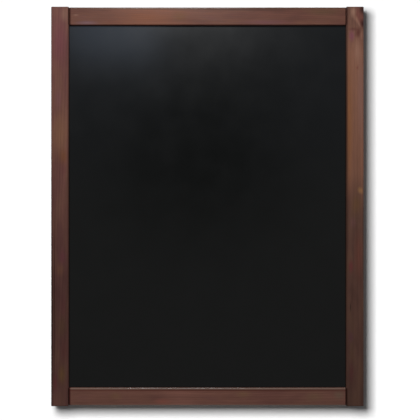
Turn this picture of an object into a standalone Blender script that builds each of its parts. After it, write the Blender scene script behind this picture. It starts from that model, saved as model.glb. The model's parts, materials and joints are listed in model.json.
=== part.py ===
"""A framed wall chalkboard, 704 by 900 mm.

Two stiles and two rails of stained softwood are dowelled together round a black
laminated panel, which sits in a groove in all four. Two strap hangers with
swinging D-rings are screwed to the backs of the stiles, and two rubber bumpers
hold the bottom of the frame off the wall.

X runs to the right, Z up, and the face that is written on looks along -Y. The
origin lies on the wall's plane, midway between the two points where the wall
hooks bear in the rings.
"""

import math

import bmesh
import bpy
from mathutils import Vector

# Overall size of the frame, in metres
BOARD_WIDTH = 0.704
BOARD_HEIGHT = 0.900
BATTEN_WIDTH = 0.040
BATTEN_THICKNESS = 0.017
STILE_OVERHANG = 0.0018
EDGE_ROUND = 0.0022
EDGE_ROUND_STEPS = 3

# Gap between two pieces that are glued, screwed or resting together
SEAT_GAP = 0.0003

# The panel, its layers, and the groove that holds it
CORE_THICKNESS = 0.003
SHEET_THICKNESS = 0.0007
FRONT_LIP = 0.0055
GROOVE_DEPTH = 0.008
PANEL_EDGE_ROOM = 0.0008

# Corner dowels
DOWEL_DIAMETER = 0.006
DOWEL_LENGTH = 0.030
DOWEL_CHAMFER = 0.0008
DOWEL_MARGIN = 0.0085
DOWEL_END_ROOM = 0.001
DOWEL_SIDES = 24

# Strap hangers: the strip, its curled eye and its two screw holes
HOOK_DROP = 0.100
STRAP_WIDTH = 0.012
STRAP_THICKNESS = 0.001
STRAP_TOE = 0.0065
STRAP_TOE_ROUND = 0.0028
STRAP_TOE_STEPS = 4
ROUND_PROFILE_SHARE = 0.5
EYE_GAP = 0.00025
EYE_SWEEP = math.radians(290)
EYE_STEPS = 20
EYE_TO_SCREW = 0.008
SCREW_SPACING = 0.016

# D-rings
RING_WIRE = 0.0024
RING_INNER_WIDTH = 0.0155
RING_SIDE = 0.0055
RING_CORNER_ROUND = 0.002
RING_CORNER_STEPS = 4
RING_BOW_STEPS = 18

# Pan-head screws
SCREW_SHANK = 0.0035
SCREW_LENGTH = 0.013
SCREW_TIP = 0.003
SCREW_HEAD_DIAMETER = 0.007
SCREW_HEAD_HEIGHT = 0.0021
SCREW_HEAD_RIM = 0.0008
SCREW_HEAD_STEPS = 5
SCREW_SIDES = 24
RECESS_SPAN = 0.0038
RECESS_SLOT = 0.0009
RECESS_DEPTH = 0.0013

# Rubber bumpers
WALL_STANDOFF = 0.006
BUMPER_DIAMETER = 0.0127
BUMPER_DRAFT = 0.0006
BUMPER_ROUND = 0.001
BUMPER_ROUND_STEPS = 3
BUMPER_RISE = 0.025
BUMPER_SIDES = 32

# How far a cutter runs past the surface that it opens
CUT_OVERRUN = 0.001

# Points closer than this are one point, and faces that meet at less than this angle are one surface
WELD_DISTANCE = 0.000002
SMOOTH_ANGLE = math.radians(35)

# Places worked out from the sizes above
PANEL_THICKNESS = CORE_THICKNESS + 2 * SHEET_THICKNESS + 2 * SEAT_GAP
GROOVE_WIDTH = PANEL_THICKNESS + 2 * SEAT_GAP

FRAME_TOP = HOOK_DROP
FRAME_BOTTOM = FRAME_TOP - BOARD_HEIGHT
FRAME_MIDDLE = (FRAME_TOP + FRAME_BOTTOM) / 2
FRAME_BACK = -WALL_STANDOFF
FRAME_FACE = FRAME_BACK - BATTEN_THICKNESS
BATTEN_DEPTH_CENTRE = (FRAME_BACK + FRAME_FACE) / 2
PANEL_CENTRE = FRAME_FACE + FRONT_LIP + GROOVE_WIDTH / 2

STILE_CENTRE = (BOARD_WIDTH - BATTEN_WIDTH) / 2
STILE_INNER_EDGE = BOARD_WIDTH / 2 - BATTEN_WIDTH
RAIL_LENGTH = 2 * (STILE_INNER_EDGE - SEAT_GAP)
RAIL_OUTER_EDGE = BOARD_HEIGHT / 2 - STILE_OVERHANG
RAIL_CENTRE = RAIL_OUTER_EDGE - BATTEN_WIDTH / 2
RAIL_INNER_EDGE = RAIL_OUTER_EDGE - BATTEN_WIDTH

PANEL_WIDTH = 2 * (STILE_INNER_EDGE + GROOVE_DEPTH - PANEL_EDGE_ROOM)
PANEL_HEIGHT = 2 * (RAIL_INNER_EDGE + GROOVE_DEPTH - PANEL_EDGE_ROOM)

EYE_INNER_RADIUS = RING_WIRE / 2 + EYE_GAP
EYE_CENTRE_RADIUS = EYE_INNER_RADIUS + STRAP_THICKNESS / 2
STRAP_BACK = FRAME_BACK + SEAT_GAP
STRAP_FACE = STRAP_BACK + STRAP_THICKNESS
RING_HALF_WIDTH = (RING_INNER_WIDTH + RING_WIRE) / 2
RING_RISE = RING_SIDE + RING_INNER_WIDTH / 2
RING_AXIS_DEPTH = STRAP_FACE + EYE_INNER_RADIUS
RING_AXIS_HEIGHT = -RING_RISE

SIDES = {"left": -1, "right": 1}
ENDS = {"top": 1, "bottom": -1}


def clear_scene():
    """Remove every object that the file opened with."""
    for obj in list(bpy.data.objects):
        bpy.data.objects.remove(obj, do_unlink=True)


def make_collection(name):
    """Add a collection to the scene."""
    collection = bpy.data.collections.new(name)
    bpy.context.scene.collection.children.link(collection)
    return collection


def make_material(name, colour, roughness, metallic=0.0):
    """One Principled BSDF finish."""
    material = bpy.data.materials.new(name)
    material.use_nodes = True
    shader = material.node_tree.nodes["Principled BSDF"]
    shader.inputs["Base Color"].default_value = (*colour, 1.0)
    shader.inputs["Roughness"].default_value = roughness
    shader.inputs["Metallic"].default_value = metallic
    return material


def add_object(name, data, collection, location=(0, 0, 0), material=None):
    """Place a mesh or curve in a collection as one named object."""
    obj = bpy.data.objects.new(name, data)
    obj.location = location
    collection.objects.link(obj)
    if material:
        data.materials.clear()
        data.materials.append(material)
    return obj


def add_cutter(name, mesh, location=(0, 0, 0)):
    """Place a mesh among the cutters, drawn as wire and left out of renders."""
    cutter = add_object(name, mesh, cutters, location)
    cutter.display_type = "WIRE"
    cutter.hide_render = True
    return cutter


def box_mesh(name, size):
    """A box of the given size about its own centre."""
    mesh = bpy.data.meshes.new(name)
    shape = bmesh.new()
    bmesh.ops.create_cube(shape, size=1)
    bmesh.ops.scale(shape, vec=size, verts=shape.verts)
    shape.to_mesh(mesh)
    shape.free()
    return mesh


def cylinder_mesh(name, radius, length, sides, along):
    """A cylinder about its own centre, along X or Y."""
    mesh = bpy.data.meshes.new(name)
    shape = bmesh.new()
    bmesh.ops.create_cone(
        shape, cap_ends=True, segments=sides, radius1=radius, radius2=radius, depth=length
    )
    turn = Vector((0, 0, 1)).rotation_difference(along).to_matrix()
    bmesh.ops.rotate(shape, cent=(0, 0, 0), matrix=turn, verts=shape.verts)
    shape.to_mesh(mesh)
    shape.free()
    return mesh


def cut(obj, cutter):
    """Take a cutter's shape out of an object."""
    step = obj.modifiers.new(f"cut_{cutter.name}", "BOOLEAN")
    step.operation = "DIFFERENCE"
    step.solver = "EXACT"
    step.object = cutter


def round_edges(obj, radius, steps):
    """Round the sharp edges of an object."""
    step = obj.modifiers.new("eased_edges", "BEVEL")
    step.width = radius
    step.segments = steps
    step.limit_method = "ANGLE"


def smooth(mesh):
    """Shade the round faces of a mesh smooth and keep its corners crisp."""
    mesh.shade_smooth()
    mesh.set_sharp_from_angle(angle=SMOOTH_ANGLE)


def turned(name, profile, sides, collection, location, material):
    """A turned piece: a profile of (radius, height), spun about Y towards the wall."""
    mesh = bpy.data.meshes.new(name)
    shape = bmesh.new()
    points = [shape.verts.new((radius, 0, height)) for radius, height in profile]
    for upper, lower in zip(points, points[1:]):
        shape.edges.new((upper, lower))
    shape.to_mesh(mesh)
    shape.free()
    obj = add_object(name, mesh, collection, location, material)
    obj.rotation_euler = (-math.pi / 2, 0, 0)
    spin = obj.modifiers.new("spin", "SCREW")
    spin.axis = "Z"
    spin.steps = sides
    spin.render_steps = sides
    spin.use_merge_vertices = True
    spin.merge_threshold = WELD_DISTANCE
    spin.use_smooth_shade = True
    return obj


def mesh_of(obj):
    """The evaluated shape of an object as a mesh of its own, with its caps welded."""
    bpy.context.view_layer.update()
    seen = obj.evaluated_get(bpy.context.evaluated_depsgraph_get())
    mesh = bpy.data.meshes.new_from_object(seen)
    mesh.name = obj.name
    shape = bmesh.new()
    shape.from_mesh(mesh)
    bmesh.ops.remove_doubles(shape, verts=shape.verts, dist=WELD_DISTANCE)
    shape.to_mesh(mesh)
    shape.free()
    return mesh


def arc(centre, radius, start, sweep, steps):
    """Points along an arc, its first and last included."""
    points = []
    for step in range(steps + 1):
        angle = start + sweep * step / steps
        points.append((centre[0] + radius * math.cos(angle), centre[1] + radius * math.sin(angle)))
    return points


# Dowel joints


def dowel_places():
    """Yield each dowel's name and centre: two in each corner, on the joint's face."""
    inner = BATTEN_WIDTH - GROOVE_DEPTH - DOWEL_MARGIN
    for end_name, end in ENDS.items():
        for side_name, side in SIDES.items():
            for place, inset in (("outer", DOWEL_MARGIN), ("inner", inner)):
                height = FRAME_MIDDLE + end * (RAIL_OUTER_EDGE - inset)
                centre = (side * STILE_INNER_EDGE, BATTEN_DEPTH_CENTRE, height)
                yield f"dowel_{end_name}_{side_name}_{place}", end_name, side_name, centre


def make_dowels(material):
    """Beech pegs with chamfered ends, half in the rail and half in the stile."""
    mesh = cylinder_mesh("dowel", DOWEL_DIAMETER / 2, DOWEL_LENGTH, DOWEL_SIDES, Vector((1, 0, 0)))
    for name, _end, _side, centre in dowel_places():
        dowel = add_object(name, mesh, board, centre, material)
        round_edges(dowel, DOWEL_CHAMFER, 1)
    smooth(mesh)


def make_dowel_holes():
    """One drilling for each dowel, deeper and wider than the peg by the named gaps."""
    radius = DOWEL_DIAMETER / 2 + SEAT_GAP
    length = DOWEL_LENGTH + 2 * DOWEL_END_ROOM
    mesh = cylinder_mesh("dowel_hole", radius, length, DOWEL_SIDES, Vector((1, 0, 0)))
    holes = []
    for name, end, side, centre in dowel_places():
        holes.append((end, side, add_cutter(f"{name}_hole", mesh, centre)))
    return holes


# Hanger screws


def screw_places():
    """Yield each hanger screw's name, its side and the centre of its hole on the stile's back."""
    for side_name, side in SIDES.items():
        for place, drop in (("upper", EYE_TO_SCREW), ("lower", EYE_TO_SCREW + SCREW_SPACING)):
            centre = (side * STILE_CENTRE, FRAME_BACK, RING_AXIS_HEIGHT - drop)
            yield f"hanger_screw_{side_name}_{place}", side_name, centre


def make_pilot_holes():
    """The screws' holes in the stiles, wider than the shank by the seat gap."""
    radius = SCREW_SHANK / 2 + SEAT_GAP
    length = SCREW_LENGTH + CUT_OVERRUN
    mesh = cylinder_mesh("pilot_hole", radius, length, SCREW_SIDES, Vector((0, 1, 0)))
    holes = []
    for name, side, centre in screw_places():
        middle = Vector(centre) + Vector((0, CUT_OVERRUN - length / 2, 0))
        holes.append((side, add_cutter(f"{name}_pilot", mesh, middle)))
    return holes


def screw_profile():
    """The screw's outline from the crown of its head down to its point."""
    radius = SCREW_HEAD_DIAMETER / 2
    crown = SCREW_HEAD_HEIGHT - SCREW_HEAD_RIM
    profile = []
    for step in range(SCREW_HEAD_STEPS + 1):
        angle = math.pi / 2 * (1 - step / SCREW_HEAD_STEPS)
        profile.append((radius * math.cos(angle), SCREW_HEAD_RIM + crown * math.sin(angle)))
    profile[0] = (0, SCREW_HEAD_HEIGHT)
    shank = SCREW_SHANK / 2
    profile += [
        (radius, 0),
        (shank, 0),
        (shank, SCREW_TIP - SCREW_LENGTH),
        (0, -SCREW_LENGTH),
    ]
    return profile


def make_screws(material):
    """Pan-head screws with a cross recess, their heads on the straps."""
    seat = STRAP_FACE + SEAT_GAP - FRAME_BACK
    slots = {
        "across": box_mesh("recess_across", (RECESS_SPAN, RECESS_DEPTH + CUT_OVERRUN, RECESS_SLOT)),
        "upright": box_mesh("recess_upright", (RECESS_SLOT, RECESS_DEPTH + CUT_OVERRUN, RECESS_SPAN)),
    }
    recess = SCREW_HEAD_HEIGHT + (CUT_OVERRUN - RECESS_DEPTH) / 2
    for name, _side, centre in screw_places():
        place = Vector(centre) + Vector((0, seat, 0))
        screw = turned(name, screw_profile(), SCREW_SIDES, board, place, material)
        for way, slot in slots.items():
            cutter = add_cutter(f"{name}_recess_{way}", slot, place + Vector((0, recess, 0)))
            cut(screw, cutter)


# The frame


def make_stiles(material, dowel_holes, pilot_holes):
    """The two full-height battens, each with a stopped groove, dowel holes and pilot holes."""
    mesh = box_mesh("stile", (BATTEN_WIDTH, BATTEN_THICKNESS, BOARD_HEIGHT))
    groove_span = PANEL_HEIGHT + 2 * PANEL_EDGE_ROOM
    groove_mesh = box_mesh("stile_groove", (GROOVE_DEPTH + CUT_OVERRUN, GROOVE_WIDTH, groove_span))
    for side_name, side in SIDES.items():
        centre = (side * STILE_CENTRE, BATTEN_DEPTH_CENTRE, FRAME_MIDDLE)
        stile = add_object(f"{side_name}_stile", mesh, board, centre, material)
        round_edges(stile, EDGE_ROUND, EDGE_ROUND_STEPS)
        groove_x = side * (STILE_INNER_EDGE + (GROOVE_DEPTH - CUT_OVERRUN) / 2)
        groove = add_cutter(
            f"{side_name}_stile_groove", groove_mesh, (groove_x, PANEL_CENTRE, FRAME_MIDDLE)
        )
        cut(stile, groove)
        for _end, hole_side, hole in dowel_holes:
            if hole_side == side_name:
                cut(stile, hole)
        for hole_side, hole in pilot_holes:
            if hole_side == side_name:
                cut(stile, hole)


def make_rails(material, dowel_holes):
    """The two battens butted between the stiles, grooved right through along their inner edges."""
    mesh = box_mesh("rail", (RAIL_LENGTH, BATTEN_THICKNESS, BATTEN_WIDTH))
    groove_mesh = box_mesh(
        "rail_groove", (RAIL_LENGTH + 2 * CUT_OVERRUN, GROOVE_WIDTH, GROOVE_DEPTH + CUT_OVERRUN)
    )
    for end_name, end in ENDS.items():
        centre = (0, BATTEN_DEPTH_CENTRE, FRAME_MIDDLE + end * RAIL_CENTRE)
        rail = add_object(f"{end_name}_rail", mesh, board, centre, material)
        round_edges(rail, EDGE_ROUND, EDGE_ROUND_STEPS)
        groove_z = FRAME_MIDDLE + end * (RAIL_INNER_EDGE + (GROOVE_DEPTH - CUT_OVERRUN) / 2)
        groove = add_cutter(f"{end_name}_rail_groove", groove_mesh, (0, PANEL_CENTRE, groove_z))
        cut(rail, groove)
        for hole_end, _side, hole in dowel_holes:
            if hole_end == end_name:
                cut(rail, hole)


# The panel


def make_panel(sheet_material, core_material, backing_material):
    """Hardboard between two thin laminates, as large as the grooves allow."""
    core = box_mesh("panel_core", (PANEL_WIDTH, CORE_THICKNESS, PANEL_HEIGHT))
    add_object("panel_core", core, board, (0, PANEL_CENTRE, FRAME_MIDDLE), core_material)
    offset = (CORE_THICKNESS + SHEET_THICKNESS) / 2 + SEAT_GAP
    layers = (("writing_sheet", -offset, sheet_material), ("backing_sheet", offset, backing_material))
    for name, shift, material in layers:
        mesh = box_mesh(name, (PANEL_WIDTH, SHEET_THICKNESS, PANEL_HEIGHT))
        add_object(name, mesh, board, (0, PANEL_CENTRE + shift, FRAME_MIDDLE), material)


# The hangers


def strap_outline():
    """The strip's edge-on outline about the ring's axis: up the plate, round the eye and back."""
    foot = -(EYE_TO_SCREW + SCREW_SPACING + STRAP_TOE)
    outer = EYE_CENTRE_RADIUS + STRAP_THICKNESS / 2
    outer_side = arc((0, 0), outer, math.pi, -EYE_SWEEP, EYE_STEPS)
    inner_side = arc((0, 0), EYE_INNER_RADIUS, math.pi - EYE_SWEEP, EYE_SWEEP, EYE_STEPS)
    return [(-outer, foot)] + outer_side + inner_side + [(-EYE_INNER_RADIUS, foot)]


def flat_outline(name, outline, thickness, collection):
    """A filled outline in the YZ plane, as thick along X as given, turned into a mesh."""
    curve = bpy.data.curves.new(name, "CURVE")
    curve.dimensions = "2D"
    curve.fill_mode = "BOTH"
    curve.extrude = thickness / 2
    line = curve.splines.new("POLY")
    line.points.add(len(outline) - 1)
    for point, (depth, height) in zip(line.points, outline):
        point.co = (depth, height, 0, 1)
    line.use_cyclic_u = True
    guide = add_object(f"{name}_guide", curve, collection)
    guide.rotation_euler = (math.pi / 2, 0, math.pi / 2)
    mesh = mesh_of(guide)
    mesh.transform(guide.matrix_world)
    bpy.data.objects.remove(guide, do_unlink=True)
    return mesh


def make_straps(material):
    """A steel strip for each stile, curled round the ring's bar, with two screw holes."""
    outline = strap_outline()
    mesh = flat_outline("hanger_strap", outline, STRAP_WIDTH, cutters)
    length = STRAP_THICKNESS + 2 * CUT_OVERRUN
    hole_mesh = cylinder_mesh(
        "strap_hole", SCREW_SHANK / 2 + SEAT_GAP, length, SCREW_SIDES, Vector((0, 1, 0))
    )
    for side_name, side in SIDES.items():
        place = (side * STILE_CENTRE, RING_AXIS_DEPTH, RING_AXIS_HEIGHT)
        strap = add_object(f"hanger_strap_{side_name}", mesh.copy(), board, place, material)
        round_toe(strap)
        for name, hole_side, centre in screw_places():
            if hole_side == side_name:
                middle = (centre[0], STRAP_BACK + STRAP_THICKNESS / 2, centre[2])
                cut(strap, add_cutter(f"{name}_strap_hole", hole_mesh, middle))


def round_toe(strap):
    """Round the two corners of the strap's lower end."""
    shape = bmesh.new()
    shape.from_mesh(strap.data)
    lowest = min(vert.co.z for vert in shape.verts)
    corners = []
    for edge in shape.edges:
        first, second = edge.verts
        low = max(first.co.z, second.co.z) < lowest + WELD_DISTANCE
        corner = abs(first.co.x - second.co.x) < WELD_DISTANCE
        across = abs(first.co.y - second.co.y) > STRAP_THICKNESS / 2
        if low and corner and across:
            corners.append(edge)
    bmesh.ops.bevel(
        shape,
        geom=corners,
        offset=STRAP_TOE_ROUND,
        segments=STRAP_TOE_STEPS,
        affect="EDGES",
        profile=ROUND_PROFILE_SHARE,
    )
    shape.to_mesh(strap.data)
    shape.free()
    smooth(strap.data)


def ring_path():
    """The D-ring's centre line about its bar: bar, corners, sides and bow."""
    half = RING_HALF_WIDTH
    corner = RING_CORNER_ROUND
    quarter = math.pi / 2
    path = arc((half - corner, corner), corner, -quarter, quarter, RING_CORNER_STEPS)
    path += arc((0, RING_SIDE), half, 0, math.pi, RING_BOW_STEPS)
    path += arc((corner - half, corner), corner, math.pi, quarter, RING_CORNER_STEPS)
    return path


def make_rings(material):
    """Wire D-rings, each hung in its strap's eye with its origin on the axis that it swings about."""
    path = ring_path()
    for side_name, side in SIDES.items():
        name = f"hanger_ring_{side_name}"
        curve = bpy.data.curves.new(name, "CURVE")
        curve.dimensions = "3D"
        curve.bevel_depth = RING_WIRE / 2
        curve.bevel_resolution = 3
        line = curve.splines.new("POLY")
        line.points.add(len(path) - 1)
        for point, (across, height) in zip(line.points, path):
            point.co = (across, 0, height, 1)
        line.use_cyclic_u = True
        place = (side * STILE_CENTRE, RING_AXIS_DEPTH, RING_AXIS_HEIGHT)
        add_object(name, curve, board, place, material)


# The bumpers


def bumper_profile():
    """The bumper's outline from the face on the wall down to the face on the frame."""
    height = WALL_STANDOFF - SEAT_GAP
    base = BUMPER_DIAMETER / 2
    face = base - BUMPER_DRAFT
    profile = [(0, height)]
    for step in range(BUMPER_ROUND_STEPS + 1):
        angle = math.pi / 2 * (1 - step / BUMPER_ROUND_STEPS)
        radius = face - BUMPER_ROUND * (1 - math.cos(angle))
        profile.append((radius, height - BUMPER_ROUND * (1 - math.sin(angle))))
    return profile + [(base, 0), (0, 0)]


def make_bumpers(material):
    """Stick-on rubber bumpers low on the backs of the stiles, touching the wall's plane."""
    for side_name, side in SIDES.items():
        place = (side * STILE_CENTRE, FRAME_BACK + SEAT_GAP, FRAME_BOTTOM + BUMPER_RISE)
        turned(f"bumper_{side_name}", bumper_profile(), BUMPER_SIDES, board, place, material)


clear_scene()
board = make_collection("wall_chalkboard")
cutters = make_collection("cutters")

stained_pine = make_material("stained_pine", (0.085, 0.038, 0.027), 0.45)
black_laminate = make_material("black_laminate", (0.009, 0.010, 0.009), 0.38)
plain_laminate = make_material("plain_laminate", (0.012, 0.012, 0.012), 0.5)
hardboard = make_material("hardboard", (0.19, 0.105, 0.05), 0.8)
beech = make_material("beech", (0.56, 0.36, 0.2), 0.6)
zinc_strip = make_material("zinc_strip", (0.62, 0.63, 0.64), 0.35, 1.0)
zinc_wire = make_material("zinc_wire", (0.66, 0.67, 0.68), 0.25, 1.0)
zinc_screw = make_material("zinc_screw", (0.6, 0.61, 0.63), 0.3, 1.0)
black_rubber = make_material("black_rubber", (0.02, 0.02, 0.02), 0.75)

holes_for_dowels = make_dowel_holes()
holes_for_screws = make_pilot_holes()
make_stiles(stained_pine, holes_for_dowels, holes_for_screws)
make_rails(stained_pine, holes_for_dowels)
make_panel(black_laminate, hardboard, plain_laminate)
make_dowels(beech)
make_straps(zinc_strip)
make_rings(zinc_wire)
make_screws(zinc_screw)
make_bumpers(black_rubber)
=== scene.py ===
# %% [markdown]
# # A framed wall chalkboard
#
# This script dresses a wall chalkboard of 70 by 90 cm: four battens of stained pine round a black
# laminated panel, with strap hangers, D-rings, screws and rubber bumpers on the back.
#
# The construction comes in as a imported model, the frame, which says where each piece sits and which
# pieces move. Each piece is measured from it, and none is fitted by eye. X runs to the right, Z up, the
# wall is the plane Y = 0, and the face that is written on looks along -Y.

# %% Load the construction model
import json
import math
from collections import namedtuple

import bmesh
import bpy
from mathutils import Matrix, Vector


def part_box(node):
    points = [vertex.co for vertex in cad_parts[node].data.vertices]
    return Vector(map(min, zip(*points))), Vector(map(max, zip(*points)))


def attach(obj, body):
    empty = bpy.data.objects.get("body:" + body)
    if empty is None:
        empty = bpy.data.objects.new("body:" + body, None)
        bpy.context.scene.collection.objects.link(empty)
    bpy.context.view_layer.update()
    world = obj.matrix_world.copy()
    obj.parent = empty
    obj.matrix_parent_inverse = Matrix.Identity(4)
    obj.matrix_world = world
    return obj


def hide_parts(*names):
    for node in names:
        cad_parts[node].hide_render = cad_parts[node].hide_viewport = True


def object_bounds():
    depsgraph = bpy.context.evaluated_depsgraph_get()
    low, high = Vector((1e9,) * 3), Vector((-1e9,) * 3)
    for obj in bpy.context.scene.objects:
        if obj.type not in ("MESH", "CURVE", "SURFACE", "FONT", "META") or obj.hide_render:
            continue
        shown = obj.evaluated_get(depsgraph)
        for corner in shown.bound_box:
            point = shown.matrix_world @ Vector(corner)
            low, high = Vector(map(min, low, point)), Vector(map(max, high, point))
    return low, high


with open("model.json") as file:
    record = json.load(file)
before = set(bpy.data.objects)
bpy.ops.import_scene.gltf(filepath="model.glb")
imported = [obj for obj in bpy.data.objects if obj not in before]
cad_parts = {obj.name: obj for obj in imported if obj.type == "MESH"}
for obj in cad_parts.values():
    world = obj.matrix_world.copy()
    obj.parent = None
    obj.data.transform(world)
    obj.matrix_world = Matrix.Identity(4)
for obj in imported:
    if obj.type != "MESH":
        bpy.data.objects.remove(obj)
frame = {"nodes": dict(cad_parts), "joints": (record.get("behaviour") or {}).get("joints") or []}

MM = 0.001


def in_mm(lengths, digits=1):
    """Lengths in metres as rounded millimetres, for the prints."""
    return [round(length / MM, digits) for length in lengths]


cad_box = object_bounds()
bpy.ops.object.select_all(action="DESELECT")
print("nodes:", len(frame["nodes"]), "size in mm:", in_mm(cad_box[1] - cad_box[0]))

# %% [markdown]
# ## Helpers for modelling
#
# Every piece starts as one of Blender's primitives, added at its real size and place. Applying its
# transform puts its origin at the world's, so edit mode shows true coordinates. In edit mode an
# operator acts on what is selected. Without a mouse, faces, edges and points are selected by a test
# on their place or direction, which is more exact than clicking them.


# %% Start a piece, and select parts of it
HAIR = 0.01 * MM                  # points closer than this are level
SHARP = math.radians(60)          # faces that meet at more than this make a sharp edge
FACING = 0.9                      # a normal with this share along an axis looks that way


def only(*pieces):
    """Selects these pieces, or none, for the operators to work on."""
    bpy.ops.object.select_all(action="DESELECT")
    for piece in pieces:
        piece.select_set(True)
        bpy.context.view_layer.objects.active = piece


def start(name):
    """Names the primitive that was just added and applies its place, turn and scale."""
    piece = bpy.context.object
    piece.name = name
    piece.data.name = name
    bpy.ops.object.transform_apply(location=True, rotation=True, scale=True)
    return piece


def start_box(name, low, high):
    """A box between two corners."""
    only()
    bpy.ops.mesh.primitive_cube_add(size=1, location=(low + high) / 2, scale=high - low)
    return start(name)


def edit(piece):
    """Opens one piece in edit mode with nothing selected."""
    only(piece)
    bpy.ops.object.mode_set(mode="EDIT")
    bpy.ops.mesh.select_all(action="DESELECT")


def pick(kind, test):
    """Selects the faces, edges or verts of the piece in edit mode that pass a test."""
    bpy.ops.mesh.select_all(action="DESELECT")
    bpy.ops.mesh.select_mode(type={"faces": "FACE", "edges": "EDGE", "verts": "VERT"}[kind])
    shape = bmesh.from_edit_mesh(bpy.context.object.data)
    shape.normal_update()
    found = [item for item in getattr(shape, kind) if test(item)]
    for item in found:
        item.select_set(True)
    shape.select_flush_mode()
    bmesh.update_edit_mesh(bpy.context.object.data)
    return len(found)


def is_sharp(edge):
    """An edge at which two faces meet sharply."""
    return edge.calc_face_angle(0) > SHARP


def edge_run(edge, axis):
    """How far an edge runs along an axis: 0 is X, 1 is Y and 2 is Z."""
    return abs(edge.verts[0].co[axis] - edge.verts[1].co[axis])


def extrude(way):
    """Extrudes what is selected along a vector."""
    bpy.ops.mesh.extrude_region_move(TRANSFORM_OT_translate={"value": way})


def close_edit():
    """Turns all faces outwards and goes back to object mode."""
    bpy.ops.mesh.select_all(action="SELECT")
    bpy.ops.mesh.normals_make_consistent(inside=False)
    bpy.ops.object.mode_set(mode="OBJECT")


# %% [markdown]
# ## Modifiers, copies and handing a piece over
#
# A modifier that has done its work is applied, so each piece ends as a plain mesh. Holes and grooves
# are cut with a Boolean modifier, whose cutter has the shape of the drill or the saw cut. A finished
# piece is smoothed where its faces meet at a shallow angle. The Weighted Normal modifier then lets
# its large faces decide how light falls, so a batten stays flat right up to its rounded arris.
#
# What repeats is modelled once and copied, each copy with its own mesh.


# %% Cut, smooth, copy and register a piece
SMOOTH_ANGLE = math.radians(32)
MOVING = {"hanger_ring_left": "ring_left", "hanger_ring_right": "ring_right"}


def use_modifier(piece, kind, **settings):
    """Adds a modifier, sets it and applies it."""
    only(piece)
    step = piece.modifiers.new(kind.lower(), kind)
    for setting, value in settings.items():
        setattr(step, setting, value)
    bpy.ops.object.modifier_apply(modifier=step.name)


def cut_out(piece, cutter):
    """Takes the cutter's shape out of a piece and throws the cutter away."""
    use_modifier(piece, "BOOLEAN", operation="DIFFERENCE", solver="EXACT", object=cutter)
    bpy.data.objects.remove(cutter)


def smooth(piece):
    """Shades round surfaces smooth and keeps flat ones flat."""
    only(piece)
    bpy.ops.object.shade_smooth_by_angle(angle=SMOOTH_ANGLE)
    use_modifier(piece, "WEIGHTED_NORMAL", mode="FACE_AREA", weight=100, keep_sharp=True)


def middle_of(low, high):
    """The centre between two corners."""
    return (low + high) / 2


def named(kind, word=""):
    """The names of all nodes of a kind whose names hold a word."""
    return sorted(node for node in frame["nodes"] if node.startswith(kind) and word in node)


def register(piece, node, material):
    """Gives a finished piece its material, its body and the node it stands for."""
    piece.data.materials.clear()
    piece.data.materials.append(material)
    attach(piece, MOVING.get(node, "board"))
    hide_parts(node)


def register_all(piece, node, kind, material):
    """Copies a piece to every other node of its kind, and registers them all."""
    pieces = {node: piece}
    for other in named(kind):
        if other != node:
            only(piece)
            bpy.ops.object.duplicate()
            bpy.ops.transform.translate(value=middle_of(*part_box(other)) - middle_of(*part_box(node)))
            pieces[other] = start(piece.name.replace(node, other))
    for other, copy in pieces.items():
        register(copy, other, material)
    print(kind, "times", len(pieces), "with", len(piece.data.polygons), "faces each")


# %% [markdown]
# ## Helpers for materials
#
# Colours are written as the hex values that a colour picker shows. Blender's shaders work with
# linear light, so one function converts them. Others open a node tree, fill a node's inputs, by name
# or by number, and add a node with its settings, inputs and colour stops.


# %% Colours and nodes
def srgb(code):
    """The linear colour of an sRGB hex value. Anything but a hex value stays as it is."""
    if not isinstance(code, str):
        return code
    shares = [int(code[at:at + 2], 16) / 255 for at in (0, 2, 4)]
    return (*[c / 12.92 if c <= 0.04045 else ((c + 0.055) / 1.055) ** 2.4 for c in shares], 1.0)


def open_tree(owner):
    """Opens the node tree of a material, a lamp or the world, to which nodes are then added."""
    global tree
    owner.use_nodes = True
    tree = owner.node_tree


def feed(node, inputs):
    """Fills inputs with values, hex colours, outputs or nodes. A node means its first output."""
    for key, value in inputs.items():
        if isinstance(value, bpy.types.Node):
            value = next(socket for socket in value.outputs if socket.enabled)
        if isinstance(value, bpy.types.NodeSocket):
            tree.links.new(value, node.inputs[key])
        else:
            node.inputs[key].default_value = srgb(value)


def add(kind, inputs=None, stops=(), **settings):
    """Adds a node with its settings, its inputs and the colour stops of its ramp."""
    node = tree.nodes.new("ShaderNode" + kind)
    for setting, value in settings.items():
        setattr(node, setting, value)
    feed(node, inputs or {})
    for count, (place, colour) in enumerate(stops):
        ramp = node.color_ramp.elements
        stop = ramp[count] if count < len(ramp) else ramp.new(place)
        stop.position = place
        stop.color = srgb(colour)
    return node


def start_material(name, values):
    """Opens a new material with a Principled BSDF and its plain values."""
    material = bpy.data.materials.new(name)
    open_tree(material)
    shader = tree.nodes["Principled BSDF"]
    feed(shader, values)
    return material, shader


# %% [markdown]
# ## Stained pine
#
# The battens are planed pine, dipped in a walnut stain and sprayed with a thin satin lacquer. A
# batten is a stick sawn out of a tree, and its faces show where they cut through the growth rings.
# So the pattern is worked out in space and not painted on. It is measured in the batten's own
# directions: X across its face, Y through it and Z along it. A Mapping node centres the Object
# coordinates on the batten and, for the rails, turns them.

# %% Measure the battens
left_low, left_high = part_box("left_stile")
right_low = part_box("right_stile")[0]
top_low, top_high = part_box("top_rail")
bottom_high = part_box("bottom_rail")[1]
BATTEN_WIDTH = left_high.x - left_low.x
ARRIS = 2.2 * MM
UPRIGHT = Matrix.Identity(3)
LYING = Matrix.Rotation(math.radians(90), 3, "Y")
print("batten in mm:", in_mm((BATTEN_WIDTH, left_high.y - left_low.y)))


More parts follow.
